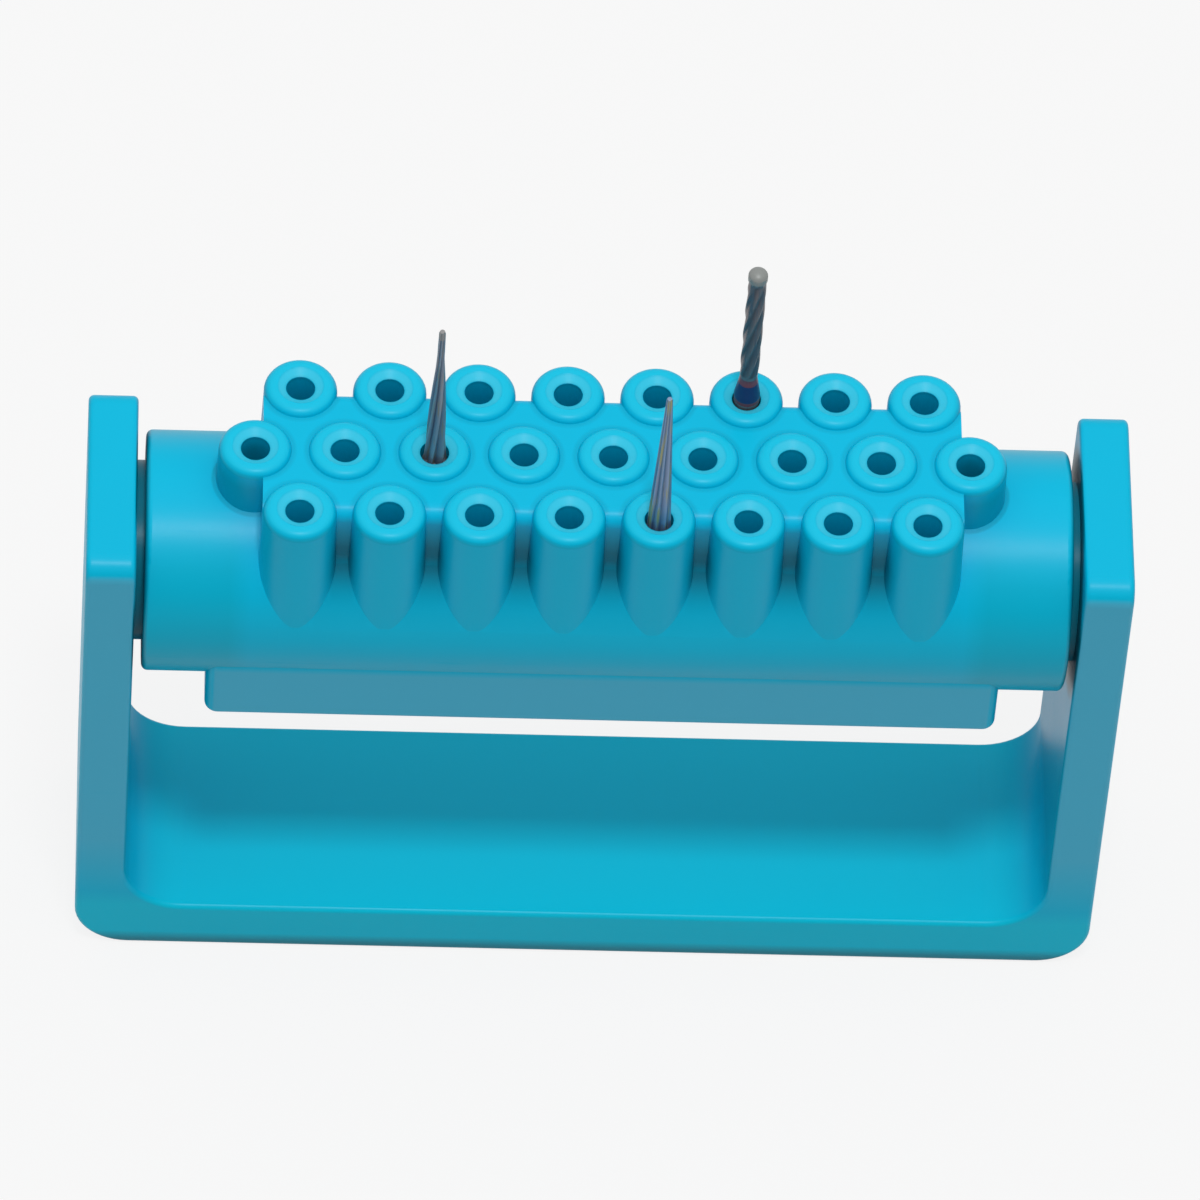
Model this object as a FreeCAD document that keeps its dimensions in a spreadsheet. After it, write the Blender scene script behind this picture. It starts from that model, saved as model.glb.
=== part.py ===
# Bur disinfection block: a turning drum with staggered bur holes between the arms of a U-shaped stand
import FreeCAD, Part
import math
import os
import Sketcher
from FreeCAD import Vector

doc = FreeCAD.newDocument("BurDisinfectionBlock")

# Lengths that differ by less than this, in millimetres, count as equal
SAME = 0.01


# Driving dimensions in millimetres, degrees or counts
DIMENSIONS = [
    ("HolePitch", 8.0, "centre distance of neighbouring bur holes, along a row and between rows"),
    ("MiddleRowHoles", 9, "bur holes in the middle row; the outer rows have one less"),
    ("StandDepth", 20.9, "front to back"),
    ("ArmThickness", 4.5, "along the drum axis"),
    ("ArmGap", 84.8, "clear width between the arms"),
    ("ArmRise", 10.4, "flat arm top above the drum axis"),
    ("AxisHeight", 46.25, "drum axis above the underside"),
    ("BaseThickness", 5.85, "plate between the arms"),
    ("InnerCornerRadius", 5.4, "between the arms and the base plate"),
    ("OuterCornerRadius", 4.9, "lower outer corners"),
    ("ArmTopRounding", 2.0, "front and rear edges of the arm tops"),
    ("StandRounding", 0.5, "all other broken edges of the stand"),
    ("DrumRadius", 10.85, "round body"),
    ("DrumRounding", 0.6, "end edges of the round body"),
    ("ShoulderRadius", 8.1, "thrust shoulder on each end"),
    ("ShoulderRise", 0.75, "thrust shoulder above the drum end"),
    ("EndPlay", 0.02, "shoulder to arm, each side"),
    ("StubRadius", 3.0, "stub axle moulded on each end"),
    ("StubEngagement", 2.6, "length of the stub axle inside the arm"),
    ("StubChamfer", 0.4, "lead-in of the stub axle"),
    ("StubClearance", 0.05, "running clearance of the stub axle, radial"),
    ("SocketFloorGap", 0.4, "end of the stub axle to the socket floor"),
    ("BossRadius", 3.3, "tube round each bur hole, at the top"),
    ("BossRootRadius", 3.65, "the same tube at the level of the drum axis"),
    ("BossTop", 15.75, "boss rim above the drum axis"),
    ("BossRise", 0.6, "boss rim above the deck"),
    ("BossRounding", 0.9, "outer edge of the boss rim"),
    ("DeckRounding", 1.4, "long edges of the deck"),
    ("DeckRootRadius", 1.5, "between the deck's sides and the round body"),
    ("HoleRadius", 1.3, "bur hole"),
    ("FunnelRadius", 2.1, "countersunk mouth of the bur hole"),
    ("FunnelDepth", 0.5, "depth of the countersunk mouth"),
    ("DrainRadius", 0.6, "drain under each bur hole"),
    ("FootBelowDrum", 0.05, "flat underside of the foot, below the lowest line of the round body"),
    ("FootFloor", 1.0, "material under the bur holes"),
    ("FootHalfWidth", 10.2, "foot, drum axis to its front face; nearly flush with the front bosses"),
    ("FootEndMargin", 3.8, "foot beyond the last hole of the middle row"),
    ("FootCornerRadius", 1.2, "upright corners of the foot"),
    ("FootRounding", 0.6, "lower edges of the foot"),
    ("ShankRadius", 1.175, "shank of every bur"),
    ("ShankEndChamfer", 0.2, "lower end of the shank"),
    ("TaperedLength", 42.7, "tapered bur, end to end"),
    ("TaperedHeadLength", 18.4, "cutting head of the tapered bur"),
    ("TaperedHeadRadius", 1.1, "tapered head at its thick end"),
    ("TaperedTipRadius", 0.3, "tapered head at its tip"),
    ("RoundEndLength", 43.6, "round-end bur, end to end"),
    ("RoundEndHeadLength", 15.2, "cutting head of the round-end bur"),
    ("RoundEndHeadRadius", 0.88, "round-end head"),
    ("RoundEndFlat", 0.02, "radius of the small flat left at the round end"),
    ("RoundEndNeckLength", 2.3, "cone between the shank and the round-end head"),
    ("TaperedNeckLength", 0.3, "cone between the shank and the tapered head"),
]

sheet = doc.addObject("Spreadsheet::Sheet", "Sizes")
for row, (alias, value, note) in enumerate(DIMENSIONS, start=1):
    sheet.set("A%d" % row, alias)
    sheet.set("B%d" % row, str(value))
    sheet.set("C%d" % row, note)
    sheet.setAlias("B%d" % row, alias)
doc.recompute()

# Derived sizes, as expressions of the driving dimensions
HALF_GAP = "Sizes.ArmGap / 2"
HALF_WIDTH = "Sizes.ArmGap / 2 + Sizes.ArmThickness"
SOCKET_RADIUS = "Sizes.StubRadius + Sizes.StubClearance"
SOCKET_END = "Sizes.ArmGap / 2 + Sizes.StubEngagement + Sizes.SocketFloorGap"
BASE_TOP = "Sizes.BaseThickness - Sizes.AxisHeight"
BASE_UNDERSIDE = "-Sizes.AxisHeight"
SHOULDER_FACE = "Sizes.ArmGap / 2 - Sizes.EndPlay"
DRUM_END = "Sizes.ArmGap / 2 - Sizes.EndPlay - Sizes.ShoulderRise"
STUB_END = "Sizes.ArmGap / 2 + Sizes.StubEngagement"
ROW_SPACING = "Sizes.HolePitch * sqrt(3) / 2"
MIDDLE_ROW_SPAN = "(Sizes.MiddleRowHoles - 1) * Sizes.HolePitch"
OUTER_ROW_SPAN = "(Sizes.MiddleRowHoles - 2) * Sizes.HolePitch"
DECK_TOP = "Sizes.BossTop - Sizes.BossRise"
FOOT_DROP = "(Sizes.DrumRadius + Sizes.FootBelowDrum)"
HOLE_FLOOR = "Sizes.FootFloor - " + FOOT_DROP
FOOT_HALF_LENGTH = MIDDLE_ROW_SPAN + " / 2 + Sizes.FootEndMargin"
DECK_HALF_LENGTH = OUTER_ROW_SPAN + " / 2 + Sizes.BossRadius"
TAPERED_HEAD_BASE = "Sizes.TaperedLength - Sizes.TaperedHeadLength"
ROUND_END_HEAD_BASE = "Sizes.RoundEndLength - Sizes.RoundEndHeadLength"


def size(alias):
    """The present value of one driving dimension."""
    return float(sheet.get(alias))


def new_body(label):
    body = doc.addObject("PartDesign::Body", label)
    body.Label = label
    return body


def origin_feature(body, role):
    return next(f for f in body.Origin.OriginFeatures if f.Role == role)


def new_sketch(body, name, plane_role):
    sketch = body.newObject("Sketcher::SketchObject", name)
    sketch.AttachmentSupport = [(origin_feature(body, plane_role), "")]
    sketch.MapMode = "FlatFace"
    return sketch


def bind(sketch, kind, where, expression):
    """Add one dimension to a sketch and tie it to the sizes."""
    value = float(sketch.evalExpression(expression))
    index = sketch.addConstraint(Sketcher.Constraint(kind, *where, value))
    sketch.setExpression("Constraints[%d]" % index, expression)


def add_outline(sketch, corners):
    """Close a polygon whose corners are pairs of expressions, measured from the sketch origin."""
    first = sketch.GeometryCount
    count = len(corners)
    place = [Vector(*(float(sketch.evalExpression(axis)) for axis in corner), 0) for corner in corners]
    for number in range(count):
        line = Part.LineSegment(place[number], place[(number + 1) % count])
        sketch.addGeometry(line, False)
    for number in range(count):
        following = (number + 1) % count
        sketch.addConstraint(Sketcher.Constraint("Coincident", first + number, 2, first + following, 1))
    for number, (across, up) in enumerate(corners):
        bind(sketch, "DistanceX", (-1, 1, first + number, 1), across)
        bind(sketch, "DistanceY", (-1, 1, first + number, 1), up)


def add_rounded_boss_outline(sketch):
    """Half section of a boss, from the drum axis level to its rim: a slightly tapered wall and a round outer edge."""
    radius = size("BossRadius")
    root = size("BossRootRadius")
    top = size("BossTop")
    rounding = size("BossRounding")
    draft = math.atan((root - radius) / (top - rounding))
    arc_centre = Vector(radius - rounding * math.cos(draft), top - rounding, 0)
    shoulder = Vector(radius, top - rounding + rounding * math.sin(draft), 0)
    crown = Vector(arc_centre.x, top, 0)
    bottom = sketch.addGeometry(Part.LineSegment(Vector(0, 0, 0), Vector(root, 0, 0)), False)
    wall = sketch.addGeometry(Part.LineSegment(Vector(root, 0, 0), shoulder), False)
    circle = Part.Circle(arc_centre, Vector(0, 0, 1), rounding)
    edge = sketch.addGeometry(Part.ArcOfCircle(circle, draft, math.pi / 2), False)
    flat = sketch.addGeometry(Part.LineSegment(crown, Vector(0, top, 0)), False)
    centre_line = sketch.addGeometry(Part.LineSegment(Vector(0, top, 0), Vector(0, 0, 0)), False)
    for constraint in (
        ("Coincident", bottom, 1, -1, 1),
        ("Coincident", bottom, 2, wall, 1),
        ("Tangent", wall, 2, edge, 1),
        ("Tangent", edge, 2, flat, 1),
        ("Coincident", flat, 2, centre_line, 1),
        ("Coincident", centre_line, 2, bottom, 1),
        ("Horizontal", bottom),
        ("Horizontal", flat),
        ("Vertical", centre_line),
    ):
        sketch.addConstraint(Sketcher.Constraint(*constraint))
    bind(sketch, "DistanceX", (-1, 1, wall, 1), "Sizes.BossRootRadius")
    bind(sketch, "DistanceX", (-1, 1, wall, 2), "Sizes.BossRadius")
    bind(sketch, "DistanceY", (-1, 1, flat, 2), "Sizes.BossTop")
    bind(sketch, "Radius", (edge,), "Sizes.BossRounding")


def edges_where(shape, wanted):
    """Names of the edges of a shape that pass a test."""
    return ["Edge%d" % number for number, edge in enumerate(shape.Edges, start=1) if wanted(edge)]


def is_straight_along(edge, direction):
    if not isinstance(edge.Curve, Part.Line):
        return False
    return edge.Curve.Direction.cross(direction).Length < SAME


def add_fillet(body, name, base, radius, wanted):
    """Round the edges of the base feature that pass the test."""
    doc.recompute()
    fillet = body.newObject("PartDesign::Fillet", name)
    fillet.Base = (base, edges_where(base.Shape, wanted))
    fillet.setExpression("Radius", radius)
    return fillet


def add_revolved(body, kind, name, sketch, axis):
    feature = body.newObject("PartDesign::" + kind, name)
    feature.Profile = sketch
    feature.ReferenceAxis = (sketch, [axis])
    feature.Angle = 360
    return feature


def add_row(body, name, original, span, count):
    """Repeat a feature along the drum."""
    pattern = body.newObject("PartDesign::LinearPattern", name)
    pattern.Originals = [original]
    pattern.Direction = (origin_feature(body, "X_Axis"), [""])
    pattern.Mode = "Extent"
    pattern.setExpression("Length", span)
    pattern.setExpression("Occurrences", count)
    body.Tip = pattern
    return pattern


# Stand: one U-shaped moulding, a flat base plate with an upright arm at each end
def make_stand():
    body = new_body("stand")
    body.setExpression("Placement.Base.z", "Sizes.AxisHeight")
    outline = new_sketch(body, "StandOutline", "XZ_Plane")
    add_outline(outline, [
        ("-(" + HALF_WIDTH + ")", BASE_UNDERSIDE),
        (HALF_WIDTH, BASE_UNDERSIDE),
        (HALF_WIDTH, "Sizes.ArmRise"),
        (HALF_GAP, "Sizes.ArmRise"),
        (HALF_GAP, BASE_TOP),
        ("-" + HALF_GAP, BASE_TOP),
        ("-" + HALF_GAP, "Sizes.ArmRise"),
        ("-(" + HALF_WIDTH + ")", "Sizes.ArmRise"),
    ])
    frame = body.newObject("PartDesign::Pad", "StandFrame")
    frame.Profile = outline
    frame.Midplane = True
    frame.setExpression("Length", "Sizes.StandDepth")

    across = Vector(0, 1, 0)
    middle_height = size("BaseThickness") / 2 - size("AxisHeight")

    def inner_corner(edge):
        centre = edge.CenterOfMass
        on_arm = abs(abs(centre.x) - size("ArmGap") / 2) < SAME
        return is_straight_along(edge, across) and on_arm and centre.z < 0

    def outer_corner(edge):
        return is_straight_along(edge, across) and edge.CenterOfMass.z < middle_height

    inner = add_fillet(body, "InnerCorners", frame, "Sizes.InnerCornerRadius", inner_corner)
    outer = add_fillet(body, "OuterCorners", inner, "Sizes.OuterCornerRadius", outer_corner)

    along = Vector(1, 0, 0)

    def arm_top_end(edge):
        return is_straight_along(edge, along) and abs(edge.CenterOfMass.z - size("ArmRise")) < SAME

    def side_outline(edge):
        centre = edge.CenterOfMass
        on_face = abs(abs(centre.y) - size("StandDepth") / 2) < SAME
        on_arm_top = centre.z > size("ArmRise") - size("ArmTopRounding")
        return (on_face or on_arm_top) and not is_straight_along(edge, along)

    soft_tops = add_fillet(body, "ArmTops", outer, "Sizes.ArmTopRounding", arm_top_end)
    rounded = add_fillet(body, "BrokenEdges", soft_tops, "Sizes.StandRounding", side_outline)

    # Blind sockets for the stub axles, turned about the drum axis
    sockets = new_sketch(body, "SocketOutline", "XZ_Plane")
    for side in ("", "-"):
        start = side + "(" + HALF_GAP + " - Sizes.EndPlay)"
        end = side + "(" + SOCKET_END + ")"
        add_outline(sockets, [(start, "0"), (end, "0"), (end, SOCKET_RADIUS), (start, SOCKET_RADIUS)])
    bored = add_revolved(body, "Groove", "StubSockets", sockets, "H_Axis")
    body.Tip = bored
    return body


# Drum: round body, thrust shoulders, stub axles, deck with its bosses, and the foot, moulded in one piece
def make_drum():
    body = new_body("holder_drum")
    body.setExpression("Placement.Base.z", "Sizes.AxisHeight")
    turned = new_sketch(body, "DrumOutline", "XZ_Plane")
    add_outline(turned, [
        ("-(" + STUB_END + ")", "0"),
        (STUB_END, "0"),
        (STUB_END, "Sizes.StubRadius"),
        (SHOULDER_FACE, "Sizes.StubRadius"),
        (SHOULDER_FACE, "Sizes.ShoulderRadius"),
        (DRUM_END, "Sizes.ShoulderRadius"),
        (DRUM_END, "Sizes.DrumRadius"),
        ("-(" + DRUM_END + ")", "Sizes.DrumRadius"),
        ("-(" + DRUM_END + ")", "Sizes.ShoulderRadius"),
        ("-(" + SHOULDER_FACE + ")", "Sizes.ShoulderRadius"),
        ("-(" + SHOULDER_FACE + ")", "Sizes.StubRadius"),
        ("-(" + STUB_END + ")", "Sizes.StubRadius"),
    ])
    barrel = add_revolved(body, "Revolution", "Barrel", turned, "H_Axis")
    doc.recompute()

    def rim(edge, radius):
        is_circle = isinstance(edge.Curve, Part.Circle)
        return is_circle and abs(edge.Curve.Radius - radius) < SAME

    def drum_rim(edge):
        return rim(edge, size("DrumRadius"))

    def stub_rim(edge):
        end = size("ArmGap") / 2 + size("StubEngagement")
        return rim(edge, size("StubRadius")) and abs(abs(edge.CenterOfMass.x) - end) < SAME

    soft_ends = add_fillet(body, "DrumEdges", barrel, "Sizes.DrumRounding", drum_rim)
    doc.recompute()
    lead_in = body.newObject("PartDesign::Chamfer", "StubLeadIn")
    lead_in.Base = (soft_ends, edges_where(soft_ends.Shape, stub_rim))
    lead_in.setExpression("Size", "Sizes.StubChamfer")

    # Deck between the bosses: its long edges lie on the centre lines of the outer rows
    deck_outline = new_sketch(body, "DeckOutline", "YZ_Plane")
    add_outline(deck_outline, [
        ("-(" + ROW_SPACING + ")", "0"),
        (ROW_SPACING, "0"),
        (ROW_SPACING, DECK_TOP),
        ("-(" + ROW_SPACING + ")", DECK_TOP),
    ])
    deck = body.newObject("PartDesign::Pad", "Deck")
    deck.Profile = deck_outline
    deck.Midplane = True
    deck.setExpression("Length", "2 * (" + DECK_HALF_LENGTH + ")")

    deck_height = size("BossTop") - size("BossRise")
    along = Vector(1, 0, 0)

    def deck_edge(edge):
        return is_straight_along(edge, along) and abs(edge.CenterOfMass.z - deck_height) < SAME

    def deck_root(edge):
        centre = edge.CenterOfMass
        on_barrel = abs(math.hypot(centre.y, centre.z) - size("DrumRadius")) < SAME
        on_deck = abs(centre.x) < SAME and centre.z > 0
        return is_straight_along(edge, along) and on_barrel and on_deck

    soft_deck = add_fillet(body, "DeckEdges", deck, "Sizes.DeckRounding", deck_edge)
    deck_roots = add_fillet(body, "DeckRoots", soft_deck, "Sizes.DeckRootRadius", deck_root)

    # Foot under the drum, wide enough for the outer rows of holes
    foot_outline = new_sketch(body, "FootOutline", "XY_Plane")
    add_outline(foot_outline, [
        ("-(" + FOOT_HALF_LENGTH + ")", "-Sizes.FootHalfWidth"),
        (FOOT_HALF_LENGTH, "-Sizes.FootHalfWidth"),
        (FOOT_HALF_LENGTH, "Sizes.FootHalfWidth"),
        ("-(" + FOOT_HALF_LENGTH + ")", "Sizes.FootHalfWidth"),
    ])
    foot = body.newObject("PartDesign::Pad", "Foot")
    foot.Profile = foot_outline
    foot.Reversed = True
    foot.setExpression("Length", FOOT_DROP)

    upright = Vector(0, 0, 1)
    foot_half_length = (size("MiddleRowHoles") - 1) * size("HolePitch") / 2 + size("FootEndMargin")

    def foot_corner(edge):
        centre = edge.CenterOfMass
        at_end = abs(abs(centre.x) - foot_half_length) < SAME
        return is_straight_along(edge, upright) and at_end and centre.z < 0

    foot_drop = size("DrumRadius") + size("FootBelowDrum")

    def foot_underside(edge):
        return abs(edge.BoundBox.ZMax + foot_drop) < SAME

    foot_ends = add_fillet(body, "FootCorners", foot, "Sizes.FootCornerRadius", foot_corner)
    soft_foot = add_fillet(body, "FootEdges", foot_ends, "Sizes.FootRounding", foot_underside)

    # Bosses and bur holes: one of each row is turned about its own upright axis, then repeated
    rows = [
        ("Middle", "0", MIDDLE_ROW_SPAN, "Sizes.MiddleRowHoles"),
        ("Front", "-(" + ROW_SPACING + ")", OUTER_ROW_SPAN, "Sizes.MiddleRowHoles - 1"),
        ("Back", ROW_SPACING, OUTER_ROW_SPAN, "Sizes.MiddleRowHoles - 1"),
    ]
    for name, row_place, span, count in rows:
        boss_outline = row_sketch(body, name + "BossOutline", row_place, span)
        add_rounded_boss_outline(boss_outline)
        boss = add_revolved(body, "Revolution", name + "Boss", boss_outline, "V_Axis")
        add_row(body, name + "Bosses", boss, span, count)
        doc.recompute()
    for name, row_place, span, count in rows:
        hole_outline = row_sketch(body, name + "HoleOutline", row_place, span)
        add_outline(hole_outline, [
            ("0", "-" + FOOT_DROP + " - Sizes.FootFloor"),
            ("Sizes.DrainRadius", "-" + FOOT_DROP + " - Sizes.FootFloor"),
            ("Sizes.DrainRadius", HOLE_FLOOR),
            ("Sizes.HoleRadius", HOLE_FLOOR),
            ("Sizes.HoleRadius", "Sizes.BossTop - Sizes.FunnelDepth"),
            ("Sizes.FunnelRadius", "Sizes.BossTop"),
            ("Sizes.FunnelRadius", "Sizes.BossTop + Sizes.FunnelDepth"),
            ("0", "Sizes.BossTop + Sizes.FunnelDepth"),
        ])
        hole = add_revolved(body, "Groove", name + "Hole", hole_outline, "V_Axis")
        add_row(body, name + "Holes", hole, span, count)
        doc.recompute()
    return body


def row_sketch(body, name, row_place, span):
    """An upright sketch whose origin is the first hole of a row, on the drum axis level."""
    sketch = new_sketch(body, name, "XZ_Plane")
    sketch.setExpression("AttachmentOffset.Base.x", "-(" + span + ") / 2")
    sketch.setExpression("AttachmentOffset.Base.z", "-(" + row_place + ")")
    return sketch


# Burs: turned pins that stand on the floors of their holes
def place_bur(body, column, row):
    """Stand a bur in the hole that lies column pitches along the drum and row row-spacings back."""
    body.setExpression("Placement.Base.x", "Sizes.HolePitch * %s" % column)
    body.setExpression("Placement.Base.y", "(" + ROW_SPACING + ") * (%s)" % row)
    body.setExpression("Placement.Base.z", "Sizes.AxisHeight + " + HOLE_FLOOR)


def shank_corners(head_base, head_radius, neck_length):
    return [
        ("0", "0"),
        ("Sizes.ShankRadius - Sizes.ShankEndChamfer", "0"),
        ("Sizes.ShankRadius", "Sizes.ShankEndChamfer"),
        ("Sizes.ShankRadius", head_base + " - " + neck_length),
        (head_radius, head_base),
    ]


def make_tapered_bur(label, column, row):
    body = new_body(label)
    place_bur(body, column, row)
    outline = new_sketch(body, label + "_outline", "XZ_Plane")
    shank = shank_corners(TAPERED_HEAD_BASE, "Sizes.TaperedHeadRadius", "Sizes.TaperedNeckLength")
    add_outline(outline, shank + [
        ("Sizes.TaperedTipRadius", "Sizes.TaperedLength"),
        ("0", "Sizes.TaperedLength"),
    ])
    body.Tip = add_revolved(body, "Revolution", label + "_turned", outline, "V_Axis")
    return body


def make_round_end_bur(label, column, row):
    body = new_body(label)
    place_bur(body, column, row)
    outline = new_sketch(body, label + "_outline", "XZ_Plane")
    shank = shank_corners(ROUND_END_HEAD_BASE, "Sizes.RoundEndHeadRadius", "Sizes.RoundEndNeckLength")
    add_outline(outline, shank + [
        ("Sizes.RoundEndHeadRadius", "Sizes.RoundEndLength"),
        ("0", "Sizes.RoundEndLength"),
    ])
    turned = add_revolved(body, "Revolution", label + "_turned", outline, "V_Axis")
    doc.recompute()

    def tip_rim(edge):
        return abs(edge.BoundBox.ZMin - size("RoundEndLength")) < SAME and isinstance(edge.Curve, Part.Circle)

    tip_rounding = "Sizes.RoundEndHeadRadius - Sizes.RoundEndFlat"
    body.Tip = add_fillet(body, label + "_round_end", turned, tip_rounding, tip_rim)
    return body


sub_parts = [
    make_stand(),
    make_drum(),
    make_tapered_bur("tapered_bur_middle", "-2", "0"),
    make_tapered_bur("tapered_bur_front", "0.5", "-1"),
    make_round_end_bur("round_end_bur", "1.5", "1"),
]
doc.recompute()

# Every object must have recomputed and every sub-part must be one valid solid
for item in doc.Objects:
    if "Invalid" in item.State or "Error" in item.State:
        raise RuntimeError("%s did not recompute: %s" % (item.Label, item.State))
for part in sub_parts:
    if part.Shape.isNull() or not part.Shape.isValid() or len(part.Shape.Solids) != 1:
        raise RuntimeError("%s is not one valid solid" % part.Label)

os.makedirs("parts", exist_ok=True)
for part in sub_parts:
    part.Shape.exportStep(os.path.join("parts", part.Label + ".step"))
    box = part.Shape.BoundBox
    print("%-20s volume %9.1f  x %7.2f %7.2f  y %7.2f %7.2f  z %7.2f %7.2f" % (
        part.Label, part.Shape.Volume, box.XMin, box.XMax, box.YMin, box.YMax, box.ZMin, box.ZMax))
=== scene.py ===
# Looks of a bur disinfection block: turquoise moulded stand and turning drum, with three steel burs
import math

import bpy
from mathutils import Matrix, Vector


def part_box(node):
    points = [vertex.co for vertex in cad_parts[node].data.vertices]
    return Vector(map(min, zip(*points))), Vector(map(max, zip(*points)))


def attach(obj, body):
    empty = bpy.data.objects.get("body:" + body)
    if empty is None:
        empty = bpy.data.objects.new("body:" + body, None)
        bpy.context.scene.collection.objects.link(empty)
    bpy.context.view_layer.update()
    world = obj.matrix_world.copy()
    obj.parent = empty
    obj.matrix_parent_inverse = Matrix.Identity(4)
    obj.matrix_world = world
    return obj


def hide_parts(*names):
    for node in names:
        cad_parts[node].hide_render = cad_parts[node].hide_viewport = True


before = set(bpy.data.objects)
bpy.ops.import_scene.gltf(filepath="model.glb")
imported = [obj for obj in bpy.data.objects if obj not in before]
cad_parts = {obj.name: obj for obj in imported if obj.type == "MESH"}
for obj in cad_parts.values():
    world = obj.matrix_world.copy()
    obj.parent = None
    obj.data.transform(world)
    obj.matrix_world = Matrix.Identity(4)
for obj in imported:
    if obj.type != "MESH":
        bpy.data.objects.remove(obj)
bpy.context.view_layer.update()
MM = 0.001
BUMP_STRENGTH = 0.5


# Nodes and shader expressions
def feed(tree, socket, value):
    """Link a socket to another one, or give it a value."""
    if isinstance(value, bpy.types.NodeSocket):
        tree.links.new(value, socket)
    else:
        socket.default_value = value


def add_node(tree, kind, settings, inputs):
    """Add a node: its settings first, then a value or a link for each socket."""
    made = tree.nodes.new(kind)
    for name, value in settings.items():
        setattr(made, name, value)
    for name, value in inputs.items():
        feed(tree, made.inputs[name], value)
    return made


def calculate(tree, operation, first, second):
    return add_node(tree, "ShaderNodeMath", {"operation": operation}, {0: first, 1: second}).outputs[0]


def empty_tree(owner):
    """The node tree of a new material or world, with no nodes in it."""
    owner.use_nodes = True
    owner.node_tree.nodes.clear()
    return owner.node_tree


class Value:
    """A shader socket that takes part in Python expressions; each operation adds a Math node."""

    def __init__(self, shader, socket):
        self.shader = shader
        self.socket = socket

    def math(self, operation, other=None):
        values = [self] if other is None else [self, other]
        return self.shader.node("ShaderNodeMath", {"operation": operation}, dict(enumerate(values)))

    def __add__(self, other):
        return self.math("ADD", other)

    def __sub__(self, other):
        return self.math("SUBTRACT", other)

    def __mul__(self, other):
        return self.math("MULTIPLY", other)

    def __truediv__(self, other):
        return self.math("DIVIDE", other)

    def __radd__(self, other):
        return self + other

    def __rmul__(self, other):
        return self * other

    def __rsub__(self, other):
        return self * -1.0 + other

    def clamp(self):
        return self.math("MINIMUM", 1.0).math("MAXIMUM", 0.0)

    def fade(self, start, end):
        """0 at start, 1 at end and flat beyond them, whichever of the two is larger."""
        return ((self - start) / (end - start)).clamp()


class Shader:
    """A material built from expressions."""

    def __init__(self, name):
        self.material = bpy.data.materials.new(name)
        self.tree = empty_tree(self.material)
        self.principled = add_node(self.tree, "ShaderNodeBsdfPrincipled", {}, {})
        add_node(self.tree, "ShaderNodeOutputMaterial", {}, {"Surface": self.principled.outputs["BSDF"]})

    def node(self, kind, settings=None, inputs=None, output=0):
        """Add a node, set its settings and its sockets, and return one output."""
        made = add_node(self.tree, kind, settings or {}, {})
        for name, value in (inputs or {}).items():
            self.feed(made.inputs[name], value)
        return Value(self, made.outputs[output])

    def feed(self, socket, value):
        feed(self.tree, socket, value.socket if isinstance(value, Value) else value)

    def set(self, **values):
        """Set sockets of the surface; an underscore stands for a space in a socket's name."""
        for name, value in values.items():
            self.feed(self.principled.inputs[name.replace("_", " ")], value)
        return self.material

    def place(self):
        """Object coordinates, in metres."""
        return self.node("ShaderNodeTexCoord", output="Object")

    def axis(self, place, name):
        return self.node("ShaderNodeSeparateXYZ", inputs={0: place}, output=name)

    def noise(self, place, size, detail=2.0, stretch=(1.0, 1.0, 1.0)):
        """Smooth noise from 0 to 1 whose features are about as long as size, in metres."""
        mapped = self.node("ShaderNodeMapping", inputs={"Vector": place, "Scale": stretch})
        return self.node("ShaderNodeTexNoise", inputs={
            "Vector": mapped,
            "Scale": 1.0 / size,
            "Detail": detail,
        })

    def blend(self, factor, low, high):
        """Mix two colours by a factor from 0 to 1."""
        made = add_node(self.tree, "ShaderNodeMix", {"data_type": "RGBA"}, {})
        sockets = [socket for socket in made.inputs if socket.enabled]
        for socket, value in zip(sockets, (factor, low, high)):
            self.feed(socket, value)
        return Value(self, next(socket for socket in made.outputs if socket.enabled))

    def band(self, coordinate, low, high, softness):
        """1 between two values of a coordinate and 0 outside, with soft edges."""
        rise = ((coordinate - low) / softness + 0.5).clamp()
        fall = ((high - coordinate) / softness + 0.5).clamp()
        return rise * fall

    def bump(self, height, distance):
        return self.node("ShaderNodeBump", inputs={
            "Height": height,
            "Distance": distance,
            "Strength": BUMP_STRENGTH,
        })


def srgb(red, green, blue):
    """A colour given as it looks on screen, 0 to 255, as the linear colour a shader takes."""
    def linear(channel):
        share = channel / 255
        return share / 12.92 if share <= 0.04045 else ((share + 0.055) / 1.055) ** 2.4
    return (linear(red), linear(green), linear(blue), 1.0)


def hypotenuse(first, second):
    """How far off a place is that lies the first amount one way and the second across it."""
    return (first * first + second * second).math("SQRT")


def where(**edges):
    """Mask of a place, 1 inside all of its named edges and 0 beyond any of them.

    Each edge is a coordinate, where its fade begins and where it is full, both in millimetres.
    """
    mask = 1.0
    for coordinate, start, full in edges.values():
        mask = coordinate.fade(start * MM, full * MM) * mask
    return mask


def paint(shader, color, layers):
    """Lay colours over one another; each layer is its mask, its strength and its colour."""
    for mask, strength, over in layers:
        color = shader.blend(mask * strength, color, over)
    return color


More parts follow.
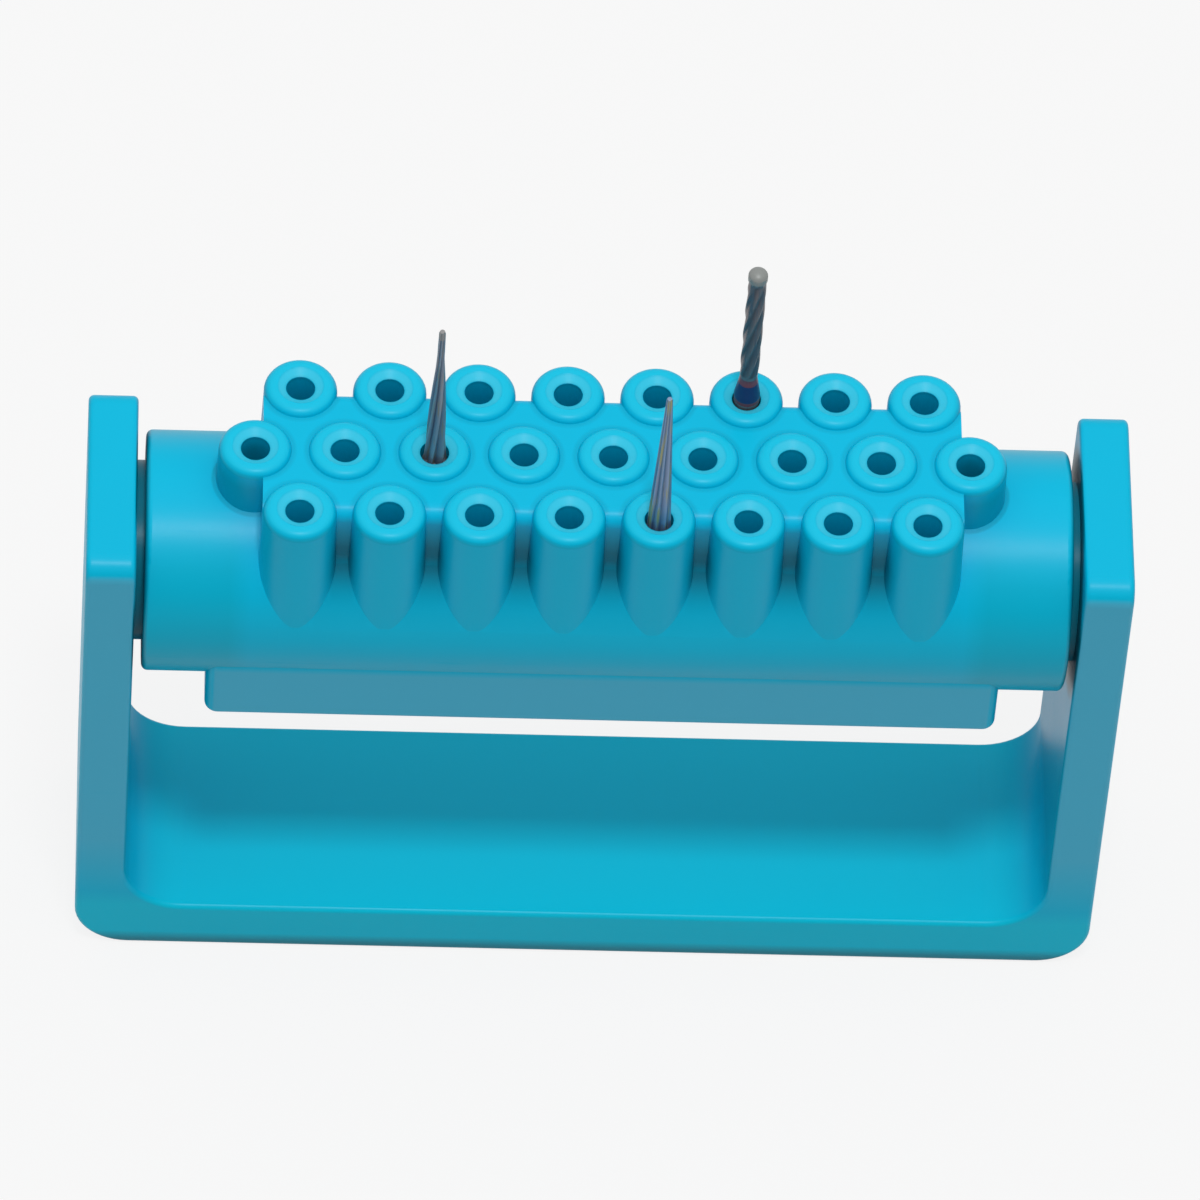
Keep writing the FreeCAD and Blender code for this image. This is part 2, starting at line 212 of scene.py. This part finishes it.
# Plastic: colours as they look on screen, among them painted light and shade, and the drum's own grid of
# holes
STAND_LIGHT, STAND_DEEP = srgb(0, 194, 232), srgb(0, 188, 226)
DRUM_LIGHT, DRUM_DEEP = srgb(0, 195, 233), srgb(0, 189, 227)
# Painted shade: a dark teal laid into gaps, slots, bores and inner faces, where shade falls
PAINTED_SHADE = srgb(0, 96, 118)
# Painted shade: the front and back faces greyed the way their shade greys them
PAINTED_FRONT_SHADE = srgb(83, 187, 220)
# Painted light: the base plate made paler, as if more light reached it
PAINTED_BASE_LIGHT = srgb(0, 203, 233)
# Painted shadow: a dark line along the foot, where the base meets the floor
PAINTED_CONTACT_SHADOW = srgb(50, 78, 86)
# Painted shade: the drum's round ends darker below their top, away from the light
PAINTED_END_SHADE = srgb(0, 184, 217)
# Painted light: the boss rims made paler, like a highlight caught on them
PAINTED_RIM_LIGHT = srgb(20, 201, 236)
# Painted light: the funnel walls lightened where they face away from the light
PAINTED_FUNNEL_LIGHT = srgb(60, 209, 240)
# Strength of the painted shade on those faces
FRONT_SHADE_STRENGTH = 0.8
PLASTIC_ROUGHNESS = 0.28
PLASTIC_SPECULAR = 0.14
AXIS_HEIGHT = 46.25 * MM
HALF_PITCH = 4.0 * MM
ROW_SPACING = 6.928 * MM


def shade_stand(shader, place, color):
    """Painted shade on the inner faces beside the drum and on the fronts, painted light on the base, a
    painted shadow along its foot.
    """
    across = shader.axis(place, "X").math("ABSOLUTE")
    depth = shader.axis(place, "Y").math("ABSOLUTE")
    height = shader.axis(place, "Z")
    from_axis = hypotenuse(depth, height - AXIS_HEIGHT)
    # Painted shade: the arms' inner faces darker, most of all close beside the drum
    inner_face = where(face=(across, 42.6, 42.5), foot=(height, 9, 13))
    by_the_drum = where(radius=(from_axis, 11.8, 10.6))
    # Painted shade: the arms' front and back faces greyed
    arm_front = where(face=(depth, 10.2, 10.4), foot=(height, 8, 16))
    # Painted light over the whole base plate
    base = where(top=(height, 8, 6))
    # Painted contact shadow along the lowest edge of the base
    contact_shadow = where(top=(height, 1.9, 0.7))
    return paint(shader, color, [
        (arm_front, FRONT_SHADE_STRENGTH, PAINTED_FRONT_SHADE),
        (base, 1.0, PAINTED_BASE_LIGHT),
        (contact_shadow, 0.62, PAINTED_CONTACT_SHADOW),
        (inner_face, by_the_drum * 0.6 + 0.3, PAINTED_SHADE),
    ])


def shade_drum(shader, place, color):
    """Painted shade in the bores, slots, gaps and low on the ends, in a fine line round each boss and greying
    the foot's fronts; painted light on the rims and funnels.

    Depth and across count from the middle of the drum, and height from its axis.
    """
    along = shader.axis(place, "X")
    across = along.math("ABSOLUTE")
    depth = shader.axis(place, "Y").math("ABSOLUTE")
    height = shader.axis(place, "Z") - AXIS_HEIGHT
    from_axis = hypotenuse(depth, height)
    from_slot = along.math("PINGPONG", HALF_PITCH)
    from_outer_hole = hypotenuse(HALF_PITCH - from_slot, depth - ROW_SPACING)
    from_middle_hole = hypotenuse(from_slot, depth)
    from_hole = from_outer_hole.math("MINIMUM", from_middle_hole)

    body = where(radius=(from_axis, 10.895, 10.87))
    # Painted shade on the drum's round ends, below their top
    drum_end = body * where(inner=(across, 32, 34), top=(height, 10.4, 7.5))
    # Painted shade low in the slots between the bosses, on the round body
    slot_foot = body * where(
        width=(from_slot, 2.9, 2.2),
        last_slot=(across, 28.5, 27.5),
        foot=(height, 2.6, 7),
    )
    # Painted shade: the drum foot's front and back faces greyed like the arms' fronts
    foot_front = where(face=(depth, 10.08, 10.16), top=(height, -3.9, -4.6))
    # Painted highlight on the top of each boss's rim
    rim = where(radius=(from_hole, 3.1, 2.9), foot=(height, 15.3, 15.6))
    # Painted light on the funnel round each hole
    funnel = where(
        outer_radius=(from_hole, 2.1, 1.9),
        inner_radius=(from_hole, 1.32, 1.36),
        foot=(height, 15.15, 15.25),
    )
    # Painted shade in the bores, in a fine line round each boss's foot and on the end bosses' walls
    bore = where(
        radius=(from_hole, 1.36, 1.32),
        top=(height, 15.3, 15.1),
        floor=(height, -10.4, -10.0),
        last_hole=(across, 34, 33.6),
    )
    foot_of_boss = where(
        radius=(from_hole, 3.8, 3.45),
        deck=(height, 14.8, 15.0),
        top=(height, 15.4, 15.25),
    )
    end_wall = where(
        inner=(across, 30, 32),
        outer=(across, 36.2, 36.0),
        radius=(from_middle_hole, 3.9, 3.7),
        top=(height, 15.0, 13.5),
        foot=(height, 9.0, 10.0),
    )
    # Painted shade on the thrust shoulders, in the gaps beside the arms
    shoulder = where(inner=(across, 41.2, 41.6))
    # Painted shade in the slots between the bosses
    slot = where(
        width=(from_slot, 1.9, 0.8),
        last_slot=(across, 29, 28),
        mouth=(depth, 9.8, 7.6),
        root=(depth, 6.4, 6.8),
        top=(height, 14.6, 10.2),
        foot=(height, 3, 8),
    )
    return paint(shader, color, [
        (foot_front, FRONT_SHADE_STRENGTH, PAINTED_FRONT_SHADE),
        (drum_end, 1.0, PAINTED_END_SHADE),
        (rim, 1.0, PAINTED_RIM_LIGHT),
        (funnel, 1.0, PAINTED_FUNNEL_LIGHT),
        (bore * 0.2 + foot_of_boss * 0.18 + end_wall * 0.3, 1.0, PAINTED_SHADE),
        (shoulder, 0.75, PAINTED_SHADE),
        (slot_foot, 0.28, PAINTED_SHADE),
        (slot, 0.76, PAINTED_SHADE),
    ])


def moulded_plastic(name, light, deep, shade):
    """Turquoise plastic from a polished mould: faint clouding, fine grain, small nicks and a soft sheen."""
    shader = Shader(name)
    place = shader.place()
    cloud = shader.noise(place, size=14 * MM)
    grain = shader.noise(place, size=0.35 * MM)
    ripple = shader.noise(place, size=3.5 * MM, detail=1.0)
    scratch = shader.noise(place, size=0.5 * MM, stretch=(0.06, 1.0, 1.0))
    scuffed = ((scratch - 0.66) * 9.0).clamp()
    return shader.set(
        # The shade function lays painted light and shade over the plastic's colour
        Base_Color=shade(shader, place, shader.blend(cloud, deep, light)),
        Roughness=cloud * 0.08 + grain * 0.06 + scuffed * 0.12 + PLASTIC_ROUGHNESS,
        Specular_IOR_Level=PLASTIC_SPECULAR,
        Normal=shader.bump(grain * 0.3 + ripple - scuffed * 0.25, distance=0.02 * MM),
    )


def dress(label, material):
    """Give a CAD node one material all over."""
    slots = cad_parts[label].data.materials
    slots.clear()
    slots.append(material)


dress("stand", moulded_plastic("stand_plastic", STAND_LIGHT, STAND_DEEP, shade_stand))
dress("holder_drum", moulded_plastic("drum_plastic", DRUM_LIGHT, DRUM_DEEP, shade_drum))


# Steel of the burs
STEEL_METALLIC = 0.5
STEEL_ROUGHNESS = 0.26


def fluted_steel(name, land, hollow, streak, rings):
    """Dark ground steel: lighter on the blades, darker in the flutes as painted shade, streaked along the
    bur.

    Rings are painted round the bur, each given as its lower and upper height and its colour.
    """
    shader = Shader(name)
    place = shader.place()
    height = shader.axis(place, "Z")
    depth = shader.node("ShaderNodeAttribute", {"attribute_name": "hollow"}, output="Fac")
    streaks = shader.noise(place, size=0.28 * MM, stretch=(1.0, 1.0, 0.05))
    grinding = shader.noise(place, size=0.09 * MM, stretch=(0.15, 0.15, 1.0))
    # Painted shade: the flutes darker than the blades, by their depth
    color = shader.blend(depth, land, hollow)
    color = shader.blend(((streaks - 0.52) * 7.0).clamp(), color, streak)
    metal = STEEL_METALLIC
    for low, high, ring_color in rings:
        inside = shader.band(height, low, high, softness=0.08 * MM)
        color = shader.blend(inside, color, ring_color)
        metal = metal - inside * 0.4
    return shader.set(
        Base_Color=color,
        Metallic=metal,
        Roughness=streaks * 0.15 + grinding * 0.12 + STEEL_ROUGHNESS,
        Normal=shader.bump(grinding, distance=0.004 * MM),
    )


# Burs: a turned profile swept round its axis, with cutting blades where the profile asks for them
MERGE_DISTANCE = 0.0005 * MM
SHARP_ANGLE = math.radians(32)
NUDGE = 0.001


def turned_bur_tree():
    """Node tree that sweeps profile points round an upright axis.

    Each profile vertex holds a radius in x and a height in z, and says in "blade_depth" how deep the
    flutes are there, as a share of the radius. Columns follow the twist, so blade edges stay crisp.
    """
    tree = bpy.data.node_groups.new("turned_bur", "GeometryNodeTree")
    for name, kind in (
        ("Profile", "NodeSocketGeometry"),
        ("Place", "NodeSocketVector"),
        ("Blades", "NodeSocketInt"),
        ("Steps per blade", "NodeSocketInt"),
        ("Twist", "NodeSocketFloat"),
        ("Rake", "NodeSocketFloat"),
        ("Steel", "NodeSocketMaterial"),
    ):
        tree.interface.new_socket(name, in_out="INPUT", socket_type=kind)
    tree.interface.new_socket("Bur", in_out="OUTPUT", socket_type="NodeSocketGeometry")
    given = tree.nodes.new("NodeGroupInput").outputs
    result = tree.nodes.new("NodeGroupOutput").inputs

    def add(kind, inputs, output=0, **settings):
        return add_node(tree, kind, settings, inputs).outputs[output]

    def calc(operation, first, second=0.0):
        return calculate(tree, operation, first, second)

    def at_row(kind, value):
        return add("GeometryNodeSampleIndex", {
            "Geometry": given["Profile"],
            "Value": value,
            "Index": row,
        }, data_type=kind)

    # A flat grid with one row for each profile point and one column for each step round the bur
    rows = add("GeometryNodeAttributeDomainSize", {"Geometry": given["Profile"]}, output="Point Count")
    around = calc("MULTIPLY", given["Blades"], given["Steps per blade"])
    grid = add("GeometryNodeMeshGrid", {
        "Size X": 1.0,
        "Size Y": 1.0,
        "Vertices X": calc("ADD", around, 1.0),
        "Vertices Y": rows,
    })
    position = add("GeometryNodeInputPosition", {})
    flat = add_node(tree, "ShaderNodeSeparateXYZ", {}, {0: position}).outputs
    turn = calc("ADD", flat["X"], 0.5)
    row = calc("ROUND", calc("MULTIPLY", calc("ADD", flat["Y"], 0.5), calc("SUBTRACT", rows, 1.0)))
    depth_name = add("GeometryNodeInputNamedAttribute", {"Name": "blade_depth"}, data_type="FLOAT")
    depth = at_row("FLOAT", depth_name)
    along = add_node(tree, "ShaderNodeSeparateXYZ", {}, {0: at_row("FLOAT_VECTOR", position)}).outputs
    radius = along["X"]
    height = along["Z"]

    # Position within one blade, from its cutting edge: down the rake face, then up the back
    step = calc("ROUND", calc("MULTIPLY", turn, around))
    share = calc("FRACT", calc("DIVIDE", calc("ADD", step, NUDGE), given["Steps per blade"]))
    down = calc("DIVIDE", share, given["Rake"])
    up = calc("DIVIDE", calc("SUBTRACT", 1.0, share), calc("SUBTRACT", 1.0, given["Rake"]))
    hollow = calc("MINIMUM", down, up)
    cut = calc("MULTIPLY", hollow, depth)
    outward = calc("MULTIPLY", radius, calc("SUBTRACT", 1.0, cut))
    angle = calc("ADD", calc("MULTIPLY", turn, 2 * math.pi), calc("MULTIPLY", height, given["Twist"]))
    swept = add("ShaderNodeCombineXYZ", {
        0: calc("MULTIPLY", outward, calc("COSINE", angle)),
        1: calc("MULTIPLY", outward, calc("SINE", angle)),
        2: height,
    })
    marked = add("GeometryNodeStoreNamedAttribute", {
        "Geometry": grid,
        "Name": "hollow",
        "Value": calc("MULTIPLY", hollow, calc("GREATER_THAN", depth, NUDGE)),
    }, data_type="FLOAT", domain="POINT")
    shaped = add("GeometryNodeSetPosition", {"Geometry": marked, "Position": swept})
    closed = add("GeometryNodeMergeByDistance", {"Geometry": shaped, "Distance": MERGE_DISTANCE})
    placed = add("GeometryNodeTransform", {"Geometry": closed, "Translation": given["Place"]})
    real = add("GeometryNodeRealizeInstances", {"Geometry": placed})
    painted = add("GeometryNodeSetMaterial", {"Geometry": real, "Material": given["Steel"]})
    tree.links.new(painted, result["Bur"])
    return tree


def profile_mesh(name, points):
    """Profile points as loose vertices; each is (radius, height, blade depth) in millimetres and a share."""
    mesh = bpy.data.meshes.new(name)
    mesh.from_pydata([(radius * MM, 0, height * MM) for radius, height, _ in points], [], [])
    depths = mesh.attributes.new("blade_depth", "FLOAT", "POINT")
    for item, (_, _, depth) in zip(depths.data, points):
        item.value = depth
    return mesh


def smooth_profile(knots, spacing):
    """Fill in points between the knots of a profile, so that no step along the bur is longer than spacing."""
    points = [knots[0]]
    for start, end in zip(knots, knots[1:]):
        length = math.hypot(end[0] - start[0], end[1] - start[1])
        count = max(1, math.ceil(length / spacing))
        for number in range(1, count + 1):
            share = number / count
            points.append(tuple(a + (b - a) * share for a, b in zip(start, end)))
    return points


def make_bur(label, steel, knots, spacing, blades, steps, twist, rake):
    """Build one bur in its hole and let it stand for its CAD node; it rides on the drum.

    Spacing is the longest step along it, in millimetres. Each blade has a number of steps round the bur,
    and rake is the share of it that its steep face takes. Twist is in radians for each metre of height.
    """
    low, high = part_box(label)
    centre = (low + high) / 2
    profile = profile_mesh(label + "_profile", smooth_profile(knots, spacing))
    source = bpy.data.objects.new(label + "_profile", profile)
    bpy.context.scene.collection.objects.link(source)
    modifier = source.modifiers.new("turned_bur", "NODES")
    modifier.node_group = bur_tree
    values = {
        "Place": (centre.x, centre.y, low.z),
        "Blades": blades,
        "Steps per blade": steps,
        "Twist": twist,
        "Rake": rake,
        "Steel": steel,
    }
    for item in bur_tree.interface.items_tree:
        if item.in_out == "INPUT" and item.name in values:
            modifier[item.identifier] = values[item.name]
    bpy.context.view_layer.update()
    evaluated = source.evaluated_get(bpy.context.evaluated_depsgraph_get())
    mesh = bpy.data.meshes.new_from_object(evaluated)
    source.modifiers.remove(modifier)
    bpy.data.objects.remove(source)
    mesh.shade_smooth()
    mesh.set_sharp_from_angle(angle=SHARP_ANGLE)
    bur = bpy.data.objects.new(label + "_turned", mesh)
    bpy.context.scene.collection.objects.link(bur)
    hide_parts(label)
    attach(bur, "drum")


def ring(foot, low, high, color):
    """Ring round a bur between two heights above its foot, in millimetres; the foot's place is in metres."""
    return (foot + low * MM, foot + high * MM, color)


# Radii and heights in millimetres, the heights above the foot of the bur
SHANK = 1.175
SHANK_FOOT = [(0, 0, 0), (0.93, 0, 0), (SHANK, 0.2, 0)]
CONE_LENGTH = 18.4
CONE_RADIUS = 1.1
PIN_LENGTH = 15.2
PIN_RADIUS = 0.80
CAP_RADIUS = 0.88
CAP_HEIGHT = 0.62
CAP_STEP_ANGLE = 9


def tapered_knots(top, waist, tip, depth):
    """Shank, then a long cone that thins by way of its waist, and a blunt tip."""
    cone = top - CONE_LENGTH
    return SHANK_FOOT + [
        (SHANK, cone - 0.3, 0),
        (CONE_RADIUS, cone, 0),
        (CONE_RADIUS * 0.99, cone + 0.25, depth),
        *waist,
        (tip, top - 0.22, depth),
        (tip * 0.75, top - 0.05, 0),
        (0, top, 0),
    ]


def round_end_knots(top, collar):
    """Shank, a wavy pin above its collar, a plain neck and a round cap."""
    crown = top - 0.01
    dome = []
    for number in range(90 // CAP_STEP_ANGLE):
        turn = math.radians(CAP_STEP_ANGLE * number)
        dome.append((CAP_RADIUS * math.cos(turn), crown - CAP_HEIGHT + CAP_HEIGHT * math.sin(turn), 0))
    return SHANK_FOOT + [
        (SHANK, collar - 2.3, 0),
        (PIN_RADIUS, collar, 0),
        (PIN_RADIUS, collar + 0.6, 0),
        (0.87, collar + 1.0, 0.14),
        (0.88, collar + 7.0, 0.17),
        (0.86, top - 3.0, 0.14),
        (PIN_RADIUS, top - 1.75, 0.05),
        (PIN_RADIUS, top - 1.35, 0),
        (CAP_RADIUS, top - 1.15, 0),
        *dome,
        (0, crown, 0),
    ]


bur_tree = turned_bur_tree()
low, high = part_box("tapered_bur_middle")
top = (high.z - low.z) / MM
tapered_steel = fluted_steel(
    "tapered_steel",
    land=srgb(134, 157, 189), hollow=srgb(84, 107, 139), streak=srgb(150, 152, 114),
    rings=[])
slender_steel = fluted_steel(
    "slender_steel",
    land=srgb(146, 154, 166), hollow=srgb(86, 98, 120), streak=srgb(140, 130, 118),
    rings=[ring(low.z, top - 1.1, top + 1, srgb(150, 150, 150))])
make_bur(
    "tapered_bur_middle", slender_steel,
    tapered_knots(top, [(0.52, top - 6.2, 0.34), (0.36, top - 3.6, 0.26)], tip=0.30, depth=0.34),
    spacing=0.3, blades=6, steps=8, twist=95.0, rake=0.25)
make_bur(
    "tapered_bur_front", tapered_steel,
    tapered_knots(top, [], tip=0.29, depth=0.22),
    spacing=0.4, blades=8, steps=6, twist=22.0, rake=0.3)

low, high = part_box("round_end_bur")
top = (high.z - low.z) / MM
collar = top - PIN_LENGTH
dark_steel = fluted_steel(
    "dark_steel",
    land=srgb(124, 114, 116), hollow=srgb(78, 70, 76), streak=srgb(86, 90, 100),
    rings=[
        ring(low.z, collar - 2.5, collar + 0.1, srgb(28, 44, 98)),
        ring(low.z, collar - 2.9, collar - 2.5, srgb(120, 50, 62)),
        ring(low.z, collar - 0.5, collar + 0.3, srgb(120, 58, 70)),
        ring(low.z, top - 1.15, top + 1, srgb(142, 146, 144)),
    ])
make_bur(
    "round_end_bur", dark_steel,
    round_end_knots(top, collar),
    spacing=0.25, blades=6, steps=8, twist=300.0, rake=0.3)


# Stage: pale floor that keeps the object's shadow, and a plain white surround
WHITE = (1, 1, 1, 1)
FLOOR_WIDTH = 6.0
FLOOR_DROP = 0.05 * MM
FLOOR_GREY = (0.6, 0.6, 0.6, 1)
FLOOR_WHITE_SHARE = 0.86
CEILING_STRENGTH = 1.22


def white_to_camera(tree, shaded, white_kind, share):
    """Mix a shader with plain white, for rays that look at the stage or see it in a reflection."""
    rays = add_node(tree, "ShaderNodeLightPath", {}, {}).outputs
    seen = calculate(tree, "MAXIMUM", rays["Is Camera Ray"], rays["Is Glossy Ray"])
    seen = calculate(tree, "MAXIMUM", seen, rays["Is Transmission Ray"])
    part = calculate(tree, "MULTIPLY", seen, share)
    white = add_node(tree, white_kind, {}, {"Color": WHITE, "Strength": 1.0}).outputs[0]
    return add_node(tree, "ShaderNodeMixShader", {}, {0: part, 1: shaded, 2: white}).outputs[0]


def make_floor():
    half = FLOOR_WIDTH / 2
    corners = [(-half, -half, 0), (half, -half, 0), (half, half, 0), (-half, half, 0)]
    mesh = bpy.data.meshes.new("floor")
    mesh.from_pydata(corners, [], [(0, 1, 2, 3)])
    floor = bpy.data.objects.new("floor", mesh)
    bpy.context.scene.collection.objects.link(floor)
    floor.location.z = -FLOOR_DROP
    material = bpy.data.materials.new("pale_floor")
    tree = empty_tree(material)
    matte = add_node(tree, "ShaderNodeBsdfDiffuse", {}, {"Color": FLOOR_GREY}).outputs[0]
    surface = white_to_camera(tree, matte, "ShaderNodeEmission", FLOOR_WHITE_SHARE)
    add_node(tree, "ShaderNodeOutputMaterial", {}, {"Surface": surface})
    mesh.materials.append(material)


def make_world():
    """White surround for the eye; as a light it is a soft ceiling that fades towards the horizon."""
    world = bpy.data.worlds.new("studio")
    tree = empty_tree(world)
    direction = add_node(tree, "ShaderNodeTexCoord", {}, {}).outputs["Generated"]
    upward = add_node(tree, "ShaderNodeSeparateXYZ", {}, {0: direction}).outputs["Z"]
    fade = calculate(tree, "POWER", calculate(tree, "MAXIMUM", upward, 0.0), 2.0)
    strength = calculate(tree, "MULTIPLY", fade, CEILING_STRENGTH)
    ceiling = add_node(tree, "ShaderNodeBackground", {}, {"Color": WHITE, "Strength": strength}).outputs[0]
    surface = white_to_camera(tree, ceiling, "ShaderNodeBackground", 1.0)
    add_node(tree, "ShaderNodeOutputWorld", {}, {"Surface": surface})
    bpy.context.scene.world = world


def make_softbox(name, place, target, width, watts):
    lamp = bpy.data.lights.new(name, "AREA")
    lamp.shape = "SQUARE"
    lamp.size = width
    lamp.energy = watts
    lamp_object = bpy.data.objects.new(name, lamp)
    lamp_object.location = place
    lamp_object.rotation_euler = (Vector(target) - Vector(place)).to_track_quat("-Z", "Y").to_euler()
    bpy.context.scene.collection.objects.link(lamp_object)


# Camera, fitted to the grid of bur holes and the arms' edges in the photograph
def make_camera():
    elevation = math.radians(52.79)
    azimuth = math.radians(-4.33)
    roll = math.radians(4.79)
    distance_to_aim = 1.200
    focal_length = 398.8
    aim = Vector((0, 0, AXIS_HEIGHT))
    shift_right = -0.44 * MM
    shift_up = -3.58 * MM
    forward = Vector((
        -math.sin(azimuth) * math.cos(elevation),
        math.cos(azimuth) * math.cos(elevation),
        -math.sin(elevation),
    ))
    level_right = forward.cross(Vector((0, 0, 1))).normalized()
    level_up = level_right.cross(forward)
    right = level_right * math.cos(roll) + level_up * math.sin(roll)
    up = level_up * math.cos(roll) - level_right * math.sin(roll)
    data = bpy.data.cameras.new("camera")
    data.lens = focal_length
    data.sensor_width = 36.0
    data.clip_start = 0.05
    data.clip_end = 20.0
    camera = bpy.data.objects.new("camera", data)
    camera.matrix_world = Matrix((
        (right.x, up.x, -forward.x, 0),
        (right.y, up.y, -forward.y, 0),
        (right.z, up.z, -forward.z, 0),
        (0, 0, 0, 1),
    ))
    camera.location = aim - forward * distance_to_aim + right * shift_right + up * shift_up
    bpy.context.scene.collection.objects.link(camera)
    bpy.context.scene.camera = camera


make_floor()
make_world()
make_softbox("key_light", place=(0.03, -0.39, 1.36), target=(0, 0, 0.03), width=0.19, watts=6.4)
make_camera()
bpy.context.scene.view_settings.view_transform = "Standard"
